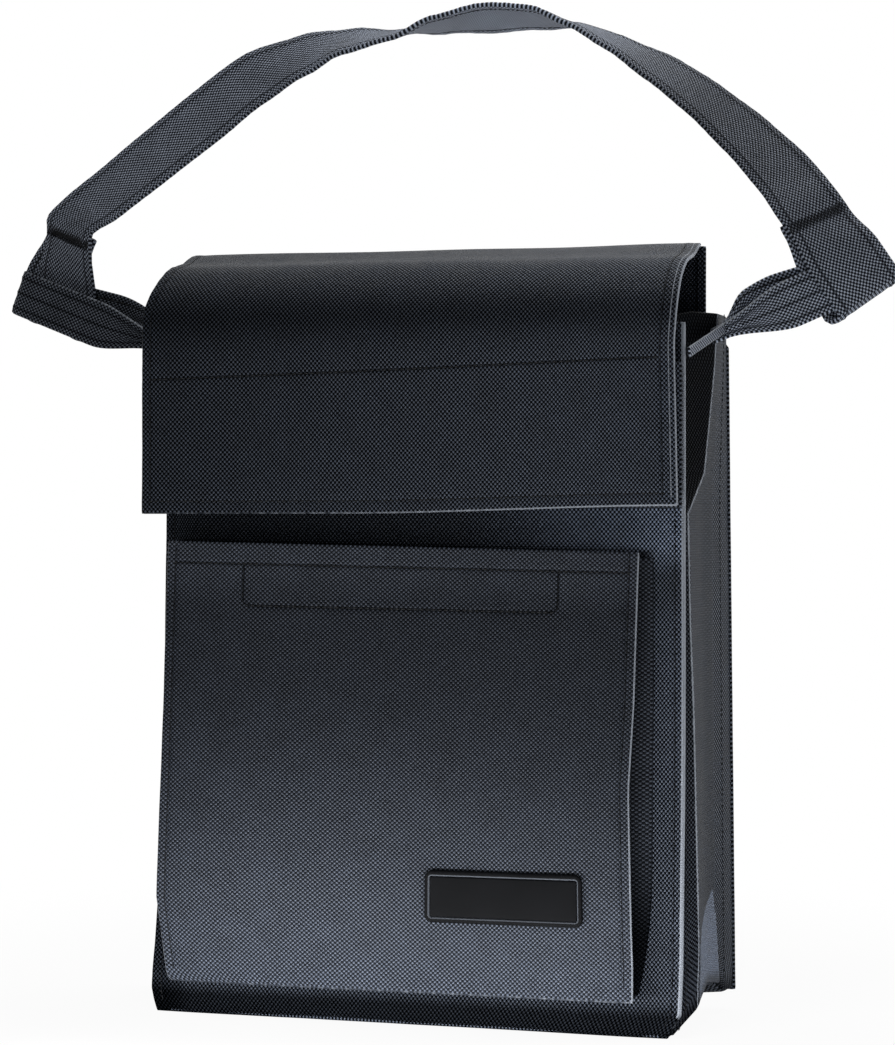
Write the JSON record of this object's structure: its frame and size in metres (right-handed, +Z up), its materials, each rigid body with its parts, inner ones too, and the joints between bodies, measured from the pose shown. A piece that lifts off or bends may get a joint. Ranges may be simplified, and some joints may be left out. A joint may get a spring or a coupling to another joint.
{
  "type": "fire-resistant battery bag",
  "caption": "Flat upright black cloth bag for storing and charging batteries, with a fire-resistant lining, a lift-up flap, a pleated front pocket and a carrying strap on side belt loops.",
  "frame": {"origin": "middle of the base, on the surface that the bag stands on", "axes": "+Z up, the front faces -Y, +X to the right seen from the front"},
  "size_m": [0.4265, 0.1038, 0.4572],
  "materials": {
    "black_ballistic_cloth": "coated ballistic weave, semi-matt",
    "silver_fire_lining": "woven glass fibre, silver-grey",
    "hook_and_loop_strip": "hook and loop pile",
    "moulded_rubber": "moulded, satin rim and matt field",
    "black_thread": "twisted polyester thread"
  },
  "bodies": {
    "shell": {"back_panel": "black_ballistic_cloth", "back_lining": "silver_fire_lining", "base_panel": "black_ballistic_cloth", "base_lining": "silver_fire_lining", "left_gusset": "black_ballistic_cloth", "right_gusset": "black_ballistic_cloth", "left_gusset_lining": "silver_fire_lining", "right_gusset_lining": "silver_fire_lining"},
    "front": {"front_panel": "black_ballistic_cloth", "front_lining": "silver_fire_lining", "front_mouth_hem": "black_ballistic_cloth", "front_loop_strip": "hook_and_loop_strip", "pocket_loop_strip": "hook_and_loop_strip", "pocket_base_fold": "black_ballistic_cloth", "pocket_left_pleat": "black_ballistic_cloth", "pocket_right_pleat": "black_ballistic_cloth"},
    "pocket": {"pocket_panel": "black_ballistic_cloth", "pocket_hook_strip": "hook_and_loop_strip", "label_patch": "moulded_rubber"},
    "flap": {"flap_outer": "black_ballistic_cloth", "flap_facing": "black_ballistic_cloth", "flap_hook_strip": "hook_and_loop_strip"},
    "strap": {"left_belt_loop": "black_ballistic_cloth", "right_belt_loop": "black_ballistic_cloth", "left_strap_end": "black_ballistic_cloth", "right_strap_end": "black_ballistic_cloth", "left_bartack": "black_thread", "right_bartack": "black_thread", "strap_band": "black_ballistic_cloth"}
  },
  "joints": [
    {"name": "front_fold", "type": "slide", "parent": "shell", "child": "front", "axis": [0, -1, 0], "range_m": [-0.04, 0], "deforming": ["left_gusset", "right_gusset", "left_gusset_lining", "right_gusset_lining", "base_panel", "base_lining"]},
    {"name": "pocket_open", "type": "hinge", "parent": "front", "child": "pocket", "pos_m": [0, -0.0428, 0.0178], "axis": [1, 0, 0], "range_deg": [0, 16], "deforming": ["pocket_left_pleat", "pocket_right_pleat"]},
    {"name": "flap_lift", "type": "hinge", "parent": "shell", "child": "flap", "pos_m": [0, 0.0292, 0.342], "axis": [-1, 0, 0], "range_deg": [0, 90]},
    {"name": "strap_swing", "type": "hinge", "parent": "shell", "child": "strap", "pos_m": [0, 0.014, 0.3], "axis": [-1, 0, 0], "range_deg": [-100, 80]}
  ]
}
